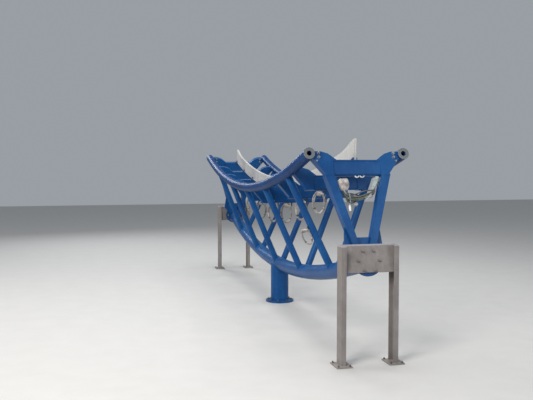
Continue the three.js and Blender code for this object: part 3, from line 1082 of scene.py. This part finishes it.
def tieMaster(node, turn, depth):
    # two eared end plates, with a box beam between them under a proud top plate
    master = reworked(node, "tieMaster")
    master.data.transform(station(turn).inverted())
    lip = track["tieTop"] + tieLook["plate"]
    slope = tieLook["slope"]
    web = tieLook["webEnd"]
    inWeb = web - slope / 2
    full = depth / 2
    beam = full - tieLook["recess"]

    def narrow(before, after, test):
        # brings the picked points of the beam's sides nearer to its middle
        pick(master, "VERT", lambda point: abs(point.co.x) < inWeb and test(point.co.z))
        bpy.ops.transform.resize(value=(1, after / before, 1), center_override=(0, 0, 0))

    with editing(master, "VERT"):
        edges = [track["tieBottom"] - rise for rise, _ in tieLook["roundings"][:-1]]
        for drop in (lip, lip + slope, *edges):
            cut((0, 0, -drop), (0, 0, 1))
        for across in (-web, slope - web, web - slope, web):
            cut((across, 0, 0), (1, 0, 0))
        narrow(full, beam, lambda z: z < -lip - slope / 2)
        for rise, inset in tieLook["roundings"]:
            level = rise - track["tieBottom"]
            narrow(beam, beam - inset, lambda z: abs(z - level) < tieLook["within"])
    return softened(master, tieLook["soften"])


def addTies(finish):
    masters = {
        True: tieMaster("tie_01", -track["frameTurn"], track["endTieDepth"]),
        False: tieMaster("tie_05", -halfBay, track["tieDepth"]),
    }
    for number, turn in enumerate(tieTurns, 1):
        master = masters[number in (1, len(tieTurns))]
        tie = placed(master, f"tieBeam{number:02d}", station(turn))
        dress(tie, "frame_paint", finish, f"tie_{number:02d}")
    dropped(*masters.values())
    print("crossbeams placed")


# Legs
legLook = {
    "radius": 0.048,
    "foot": Vector((0.062, 0, -1.245)),
    "heel": Vector((0.476, 0, -0.262)),
    "overrun": 0.290,  # past the heel, to inside the rail
    "underrun": 0.020,  # past the foot, to inside the chord
    "sides": 36,
    "gap": 0.0006,
    "soften": 0.003,
    "plateSoften": 0.002,
}
hands = {"left": Matrix.Scale(-1, 4, (1, 0, 0)), "right": Matrix.Identity(4)}
knife = {"reach": 0.3, "sides": 64}
railMiddle = Vector((halfGauge, 0, 0))
chordMiddle = Vector((0, 0, -track["chordDrop"]))


def tubeKnife(middle, radius):
    # a straight length of the rail or the chord, larger by the gap
    reach = Vector((0, knife["reach"], 0))
    return rodBetween("tubeKnife", middle - reach, middle + reach, radius + legLook["gap"], knife["sides"])


def carved(piece, *knives):
    for blade in knives:
        applied(piece, "BOOLEAN", operation="DIFFERENCE", object=blade, solver="EXACT")
        dropped(blade)
    return piece


def tubeLegMaster():
    reach = (legLook["heel"] - legLook["foot"]).normalized()
    low = legLook["foot"] - reach * legLook["underrun"]
    high = legLook["heel"] + reach * legLook["overrun"]
    leg = rodBetween("tubeLegMaster", low, high, legLook["radius"], legLook["sides"])
    railKnife = tubeKnife(railMiddle, track["railRadius"])
    return carved(leg, railKnife, tubeKnife(chordMiddle, track["chordRadius"]))


def boxLegMaster():
    leg = reworked("right_leg_1", "boxLegMaster")
    leg.data.transform(station(-track["frameTurn"]).inverted())
    return softened(leg, legLook["soften"])


def addLegs(finish):
    tubeLeg = tubeLegMaster()
    boxLeg = boxLegMaster()
    for number, turn in enumerate(legTurns, 1):
        master = boxLeg if number in (1, len(legTurns)) else tubeLeg
        for side, mirror in hands.items():
            leg = placed(master, f"{side}Leg{number}", station(turn) @ mirror)
            dress(leg, "frame_paint", finish, f"{side}_leg_{number}", smooth=40)
    dropped(tubeLeg, boxLeg)
    for end in ("near", "far"):
        plate = softened(reworked(f"{end}_web_plate", f"{end}WebPlate"), legLook["plateSoften"])
        dress(plate, "frame_paint", finish, f"{end}_web_plate")
    print("legs placed")


# Fins
finLook = {
    "seams": (-0.6, -0.2, 0.2, 0.6),  # of half a bay, from its middle
    "seamHalf": 0.0022,
    "slope": 0.0012,
    "groove": 0.0016,
    "strip": 0.016,
    "stripSink": 0.004,
    "soften": 0.0012,
}


def addFins(finish):
    for bay in range(track["bays"]):
        node = f"fin_module_{bay + 1}"
        middle = (2 * bay + 1 - track["bays"]) * halfBay
        fin = reworked(node, f"finModule{bay + 1}")
        end = {0: -1, track["bays"] - 1: 1}.get(bay, 0)
        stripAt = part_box(node)[0 if end < 0 else 1].y - end * finLook["strip"]

        def isSide(face, inStrip):
            # of the fin's broad sides, those in the end strip or those beside it
            past = end != 0 and (face.calc_center_median().y - stripAt) * end >= 0
            return abs(face.normal.x) > 0.9 and past == inStrip

        with editing(fin):
            for seam in finLook["seams"]:
                turn = middle + seam * halfBay
                cut(arcPoint(turn, 0), station(turn).col[1].to_3d())
            if end:
                cut((0, stripAt, 0), (0, 1, 0))
                if pick(fin, "FACE", lambda face: isSide(face, True)):
                    bpy.ops.mesh.inset(thickness=0.0, depth=-finLook["stripSink"])
            pick(fin, "FACE", lambda face: isSide(face, False))
            bpy.ops.mesh.inset(thickness=finLook["seamHalf"], depth=0.0, use_individual=True)
            bpy.ops.mesh.inset(thickness=finLook["slope"], depth=finLook["groove"], use_individual=True)
        softened(fin, finLook["soften"], sharp=40)
        dress(fin, "fin_metal", finish, node, smooth=35)
    print("fins placed")


# Pedestal and stands
pedestal = {
    "radius": 0.150,
    "flange": 0.235,
    "depth": 0.028,
    "sides": 64,
    "soften": 0.002,
    "bolts": 8,
    "circle": 0.192,
    "boltSize": 0.8,
}
standLook = {"soften": 0.0022}
standFoot = {"across": 0.070, "along": 0.103, "top": 0.016, "boltSize": 0.6}


def addStands(finish):
    for end in ("near", "far"):
        for part in ("plate", "left_post", "right_post"):
            node = f"{end}_stand_{part}"
            piece = reworked(node, f"{end}Stand{part.title().replace('_', '')}")
            dress(softened(piece, standLook["soften"]), "stand_paint", finish, node)
    print("stands placed")


def addPedestal(finish):
    depth = pedestal["depth"]
    stub = disc("middlePedestal", pedestal["sides"], pedestal["flange"])
    height = arcCentre - track["arcRadius"] - track["chordDrop"]
    with editing(stub):
        selectMesh()
        extruded(0, depth)
        pick(stub, "FACE", lambda face: len(face.verts) > 8 and face.calc_center_median().z > depth / 2)
        bpy.ops.mesh.inset(thickness=pedestal["flange"] - pedestal["radius"])
        extruded(0, height - depth)
        turnOut()
    blade = tubeKnife(chordMiddle, track["chordRadius"])
    blade.data.transform(station(0))
    softened(carved(stub, blade), pedestal["soften"], sharp=55)
    dress(stub, "frame_paint", finish, "middle_pedestal", smooth=40)
    print("pedestal placed")


# Bolts, one master standing on z = 0
bolt = {
    "flats": 0.034,
    "head": 0.018,
    "washer": 0.0235,
    "washerDepth": 0.0035,
    "washerSides": 28,
    "washerSoften": 0.001,
    "soften": 0.0022,
    "shaft": 0.0115,
    "stubSides": 18,
    "stub": 0.010,
    "stubFoot": 0.004,  # that stands in the head
    "chamfer": 0.002,
    "spin": 1700,  # radians for a metre across, so that the ears' heads don't stand alike
    # across, up and size in an ear of an end crossbeam
    "ear": ((0.477, 0.012, 0.85), (0.477, -0.040, 0.85), (0.505, -0.086, 0.6)),
}


def boltMaster():
    top = bolt["washerDepth"] + bolt["head"]
    head = upright("boltHead", 6, bolt["flats"] / sqrt(3), bolt["washerDepth"], top)
    softened(head, bolt["soften"], sharp=50)
    washer = upright("boltWasher", bolt["washerSides"], bolt["washer"], 0, bolt["washerDepth"])
    softened(washer, bolt["washerSoften"], sharp=50, segments=1)
    stub = upright("boltStub", bolt["stubSides"], bolt["shaft"], top - bolt["stubFoot"], top + bolt["stub"])
    with editing(stub):
        pick(stub, "FACE", lambda face: face.normal.z > 0.9)
        bpy.ops.mesh.inset(thickness=bolt["chamfer"], depth=bolt["chamfer"])
    return joined("boltMaster", [head, washer, stub])


def flangeBolts(end):
    # through the chord's flange and the stand's plate
    for share in shares(chordFlange["bolts"]):
        spot = onCircle(chordFlange["circle"], share)
        drop = track["chordDrop"] - spot.y
        size = scaled(chordFlange["boltSize"])
        yield facing(end, drop, spot.x, chordFlange["plateFace"]) @ size
        yield facing(end, drop, spot.x, -chordFlange["depth"]) @ Matrix.Rotation(pi, 4, "X") @ size


def earBolts(end):
    # on both faces of an end crossbeam's ears
    half = track["endTieDepth"] / 2
    base = station(end * track["frameTurn"])
    for sign in (-1, 1):
        for across, up, size in bolt["ear"]:
            spin = Matrix.Rotation(bolt["spin"] * across * sign, 4, "Z")
            for out in (end, -end):
                place = base @ Matrix.Translation((sign * across, out * half, up))
                yield place @ outOf(out) @ spin @ scaled(size)


def pedestalBolts():
    for number in range(pedestal["bolts"]):
        spot = onCircle(pedestal["circle"], (number + 0.5) / pedestal["bolts"], pedestal["depth"])
        yield Matrix.Translation(spot) @ scaled(pedestal["boltSize"])


def standFootBolts():
    for end in ("near", "far"):
        for side in ("left", "right"):
            low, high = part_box(f"{end}_stand_{side}_post")
            middle = (low + high) / 2
            for x in (-standFoot["across"], standFoot["across"]):
                for y in (-standFoot["along"], standFoot["along"]):
                    spot = (middle.x + x, middle.y + y, standFoot["top"])
                    yield Matrix.Translation(spot) @ scaled(standFoot["boltSize"])


def addBolts(dull, darkSteel, zinc):
    master = boltMaster()
    for end, name in ((-1, "near"), (1, "far")):
        dress(gathered(f"{name}FlangeBolts", master, flangeBolts(end)), "stand_paint", dull, smooth=30)
        dress(gathered(f"{name}EarBolts", master, earBolts(end)), "frame_paint", zinc, smooth=30)
    dress(gathered("pedestalBolts", master, pedestalBolts()), "frame_paint", darkSteel, smooth=30)
    dress(gathered("standFootBolts", master, standFootBolts()), "stand_paint", darkSteel, smooth=30)
    dropped(master)
    print("bolts set")


# Brackets that hold the fins' feet to the crossbeams
bracket = {
    "along": 0.070,
    "foot": 0.042,
    "rise": 0.048,
    "wall": 0.007,
    "soften": 0.0015,
    "gap": 0.0005,  # beside the fin
    "seat": 0.0006,  # above the crossbeam
    "shift": 0.034,  # towards mid-length, in the end frames
    "boltAlong": 0.022,
    "boltAcross": 0.026,
    "boltUp": 0.030,
    "boltSize": 0.36,
}


def bracketMaster():
    # an angle whose upright leans on x = 0 and whose foot stands on z = 0
    deselectAll()
    bpy.ops.mesh.primitive_cube_add(size=1, location=(0, 0, 0))
    angle = started("bracketMaster")
    wall = bracket["wall"]
    size = Matrix.Diagonal((wall, bracket["along"], bracket["rise"], 1))
    angle.data.transform(Matrix.Translation((wall / 2, 0, bracket["rise"] / 2)) @ size)
    with editing(angle):
        cut((0, 0, wall), (0, 0, 1))
        pick(angle, "FACE", lambda face: face.normal.x > 0.9 and face.calc_center_median().z < wall)
        extruded(bracket["foot"] - wall, 0)
    return softened(angle, bracket["soften"])


def addBrackets(finish, steel):
    master = bracketMaster()
    stud = boltMaster()
    angles, studs = [], []
    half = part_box("fin_module_3")[1].x + bracket["gap"]
    sideways = Matrix.Rotation(pi / 2, 4, "Y")
    for index, turn in enumerate(tieTurns):
        shift = {0: bracket["shift"], len(tieTurns) - 1: -bracket["shift"]}.get(index, 0)
        for mirror in hands.values():
            base = station(turn) @ Matrix.Translation((0, shift, -track["tieTop"])) @ mirror
            place = base @ Matrix.Translation((half, 0, bracket["seat"]))
            angles.append(place)
            for along in (-bracket["boltAlong"], bracket["boltAlong"]):
                down = Matrix.Translation((bracket["boltAcross"], along, bracket["wall"]))
                across = Matrix.Translation((bracket["wall"], along, bracket["boltUp"])) @ sideways
                studs += [place @ spot @ scaled(bracket["boltSize"]) for spot in (down, across)]
    dress(gathered("finBrackets", master, angles), "frame_paint", finish, smooth=30)
    dress(gathered("finBracketBolts", stud, studs), "frame_paint", steel, smooth=30)
    dropped(master, stud)
    print("fin brackets set")


# Weld beads
weld = {
    "radius": 0.0042,
    "legSteps": 28,
    "legStand": 0.0008,  # from a leg's skin to the bead's middle
    "tubeStand": 0.0002,
    "saddleSteps": 18,
    "stand": 0.001,
    "cup": (152, 78, 10),  # first angle, sweep and steps around a rail's seat
    "cupStand": 0.0022,
    "boxLeg": (0.298, 0.413),  # inner and outer side of a box leg's head
    "ringSteps": 40,
    "railRing": 0.140,  # from the rail's end
    "railSink": 0.0037,
    "flangeStand": 0.0005,
    "plateRadius": 0.0036,
    "plateFaces": (0.0008, 0.0248),
    "plateRises": (-0.135, -0.03, 0.08, 0.190),
    "plateSink": 0.0002,
}


def onTube(start, direction, middle, radius):
    # where a line first meets a tube that runs along the track
    across = (start - middle).xz
    aim = direction.xz
    reach = radius + weld["tubeStand"]
    half = across.dot(aim) / aim.length_squared
    run = half**2 - (across.length_squared - reach**2) / aim.length_squared
    return start - direction * (half + sqrt(run))


def legLoops():
    # where a tube leg meets the rail above and the chord below
    axis = (legLook["heel"] - legLook["foot"]).normalized()
    side = Vector((0, 1, 0))
    up = axis.cross(side)
    middle = (legLook["heel"] + legLook["foot"]) / 2
    top, foot = [], []
    for share in shares(weld["legSteps"]):
        roll = tau * share
        outward = side * cos(roll) + up * sin(roll)
        start = middle + outward * (legLook["radius"] + weld["legStand"])
        top.append(onTube(start, axis, railMiddle, track["railRadius"]))
        foot.append(onTube(start, -axis, chordMiddle, track["chordRadius"]))
    return [top, foot]


def saddleLoop():
    # where the chord lies in the pedestal's top
    reach = track["chordRadius"] + weld["stand"]
    near = []
    for share in shares(weld["saddleSteps"], 1):
        roll = pi * (1 + share)
        across = reach * cos(roll)
        along = sqrt(pedestal["radius"] ** 2 - across**2)
        near.append(Vector((across, -along, reach * sin(roll) - track["chordDrop"])))
    return near + [Vector((point.x, -point.y, point.z)) for point in near[::-1]]


def cupLoop(depth):
    # around the seat of the right rail in a crossbeam's ear
    reach = track["railRadius"] + weld["cupStand"]
    first, sweep, steps = weld["cup"]
    angles = [radians(first + sweep * share) for share in shares(steps, 1)]
    front = [Vector((halfGauge + reach * cos(a), -depth / 2, reach * sin(a))) for a in angles]
    return front + [Vector((point.x, depth / 2, point.z)) for point in front[::-1]]


def boxLegLoop(depth):
    # around the head of a box leg, on the crossbeam's underside
    inner, outer = weld["boxLeg"]
    half = depth / 2 + weld["stand"]
    corners = ((inner, -half), (outer, -half), (outer, half), (inner, half))
    return [Vector((across, along, -track["tieBottom"])) for across, along in corners]


def endRings():
    # around the rails behind their machined ends, and around the chord behind its flanges
    railReach = track["railRadius"] - weld["railSink"]
    rings = [(across, 0, railReach, weld["railRing"]) for across in (-halfGauge, halfGauge)]
    behind = chordFlange["depth"] + weld["flangeStand"]
    rings.append((0, track["chordDrop"], track["chordRadius"] + weld["stand"], behind))
    for end in (-1, 1):
        for across, drop, reach, along in rings:
            ring = [onCircle(reach, share) for share in shares(weld["ringSteps"])]
            yield from carried(facing(end, drop, across, -along), [ring])


def standSeams():
    # between the stands' plates and posts
    for end, name in ((-1, "near"), (1, "far")):
        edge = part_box(f"{name}_stand_plate")[1].x - weld["plateSink"]
        for across in (-edge, edge):
            for along in weld["plateFaces"]:
                spots = [(across, end * along, rise - track["chordDrop"]) for rise in weld["plateRises"]]
                yield from carried(station(end * track["endTurn"]), [[Vector(spot) for spot in spots]])


def addWelds(finish, greyFinish):
    legEnds = legLoops()
    loops = carried(station(0), [saddleLoop()])
    for mirror in hands.values():
        for index, turn in enumerate(tieTurns):
            if index in (0, len(tieTurns) - 1):
                seats = [cupLoop(track["endTieDepth"]), boxLegLoop(track["endTieDepth"])]
            else:
                seats = [cupLoop(track["tieDepth"])]
            loops += carried(station(turn) @ mirror, seats)
        for turn in legTurns[1:-1]:
            loops += carried(station(turn) @ mirror, legEnds)
    loops += endRings()
    beads = meshed(roundLine("weldBeads", loops, weld["radius"], cyclic=True))
    dress(beads, "frame_paint", finish, smooth=60)
    seams = meshed(roundLine("standWelds", standSeams(), weld["plateRadius"]))
    dress(seams, "stand_paint", greyFinish, smooth=60)
    print("welds laid")


# White saddles that hold leads under the near crossbeam
clip = {
    "across": (-0.004, 0.062),
    "along": (-0.026, -0.018, -0.010),
    "half": 0.025,
    "hang": 0.019,
    "sink": 0.0005,
    "radius": 0.0045,
    "steps": 8,
}


def addClips(plastic):
    arches = []
    for across in clip["across"]:
        for along in clip["along"]:
            arch = []
            for share in shares(clip["steps"], 1):
                roll = pi * share
                drop = track["tieBottom"] - clip["sink"] + clip["hang"] * sin(roll)
                arch.append(Vector((across + clip["half"] * cos(roll), along, -drop)))
            arches.append(arch)
    arches = carried(station(-track["frameTurn"]), arches)
    dress(meshed(roundLine("beamClips", arches, clip["radius"])), "cable", plastic)
    print("clips set")


addCamera()
addLamps()
addFloor()
skins = {name: sheath(name, *look) for name, look in sheathLooks.items()}
addCoils(skins)
addNearCables(skins)

blue = paint("framePaint")
navy = paint("railPaint", paleEnds)
# the stands' grey, with a painted highlight along their upper edges
grey = paint("standPaint", paintedTopHighlight)
offWhite = paint("finPaint")
steel = {name: metal(name, *look) for name, look in metalLooks.items()}
addRails(navy)
addChord(blue)
addTies(blue)
addLegs(blue)
addFins(offWhite)
addStands(grey)
addPedestal(blue)
addBolts(steel["dullBoltSteel"], steel["darkBoltSteel"], steel["zincBoltSteel"])
addBrackets(blue, steel["darkBoltSteel"])
addWelds(blue, grey)
addClips(skins["paleClip"])
